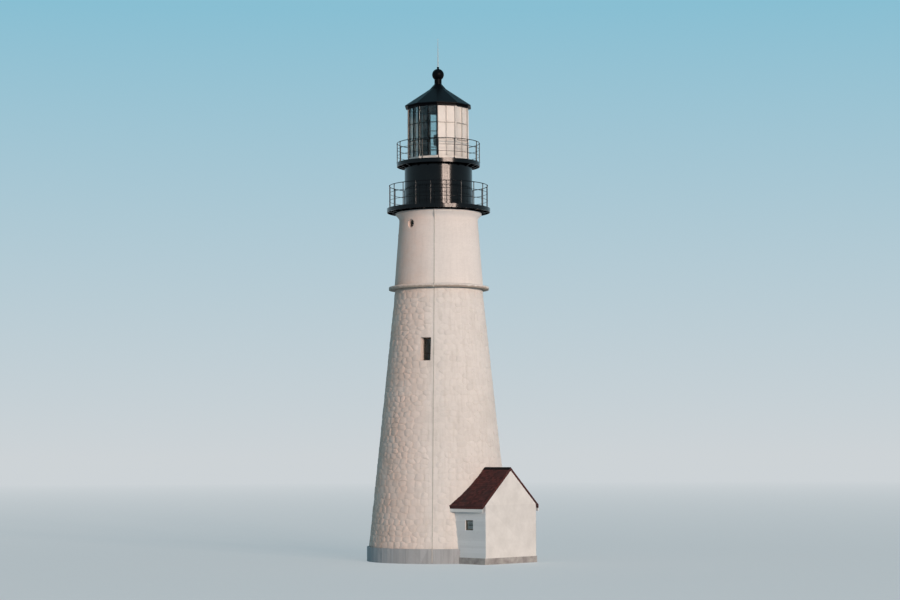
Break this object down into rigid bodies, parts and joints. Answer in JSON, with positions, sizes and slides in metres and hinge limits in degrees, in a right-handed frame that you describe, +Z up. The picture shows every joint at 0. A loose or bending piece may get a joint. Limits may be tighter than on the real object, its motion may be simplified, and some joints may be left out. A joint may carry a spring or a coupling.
{
  "type": "lighthouse with entry wing",
  "caption": "White conical lighthouse with a belt course, two black iron galleries, a ten-sided lantern with a ball-topped roof, and a small gabled entry wing ending at a party wall.",
  "frame": {"origin": "on the tower's axis at ground level, the underside of the plinth and of the ground floor", "axes": "+Z up the tower's axis, +X out along the entry wing's ridge"},
  "size_m": [8.38, 7.16, 25.9349],
  "materials": {
    "stone_painted_white": "matt masonry paint over rough rubble",
    "brick_painted_white": "matt masonry paint over smooth brick",
    "belt_stone": "weathered paint on cut stone",
    "plinth_stone": "worn grey paint over cut stone",
    "floor_stone": "worn slabs",
    "iron_black": "gloss black paint",
    "iron_white": "satin white paint",
    "bare_conductor": "dull grey metal strip",
    "window_glass": "clear glass with a light film of salt",
    "window_timber": "dark painted timber",
    "clapboard_white": "satin white paint over boards",
    "party_wall_render": "plain pale render",
    "shingle_red": "dark red weathered shingles",
    "trim_white": "white painted boards",
    "wing_stone": "rough stone base",
    "floor_boards": "worn boards",
    "beacon_grey": "grey-green enamel"
  },
  "bodies": {
    "root": {"foundation_plinth": "plinth_stone", "ground_floor": "floor_stone", "stone_wall_north": "stone_painted_white", "stone_wall_west": "stone_painted_white", "stone_wall_south": "stone_painted_white", "stone_wall_over_door": "stone_painted_white", "stone_wall_door_left": "stone_painted_white", "stone_wall_door_right": "stone_painted_white", "belt_course": "belt_stone", "brick_wall_east": "brick_painted_white", "brick_wall_north": "brick_painted_white", "brick_wall_west": "brick_painted_white", "brick_wall_south": "brick_painted_white", "cornice": "brick_painted_white", "tower_window_frames": "window_timber", "tower_window_glass": "window_glass", "lightning_conductor": "bare_conductor", "main_gallery_ring": "iron_black", "main_gallery_brackets": "iron_black", "main_gallery_deck": "iron_black", "main_gallery_rim": "iron_black", "main_gallery_railing": "iron_black", "watch_room_floor": "floor_boards", "watch_room_wall": "iron_black", "watch_room_door": "iron_black", "upper_gallery_brackets": "iron_black", "upper_gallery_deck": "iron_black", "upper_gallery_rim": "iron_black", "upper_gallery_railing": "iron_black", "lantern_floor": "iron_black", "lantern_curb": "iron_white", "lantern_head_ring": "iron_black", "lantern_posts": "iron_black", "lantern_glazing_bars": "iron_black", "lantern_glass": "window_glass", "lantern_blank_panels": "iron_white", "lantern_door": "iron_black", "lantern_roof": "iron_black", "ventilator": "iron_black", "lightning_rod": "bare_conductor", "beacon_pedestal": "beacon_grey", "beacon": "beacon_grey", "wing_foundation": "wing_stone", "wing_floor": "floor_boards", "wing_near_wall": "clapboard_white", "wing_far_wall": "clapboard_white", "wing_party_wall": "party_wall_render", "wing_roof_near": "shingle_red", "wing_roof_far": "shingle_red", "wing_ridge_cap": "iron_black", "wing_fascias": "trim_white", "wing_window_frames": "window_timber", "wing_window_glass": "window_glass"}
  },
  "joints": []
}
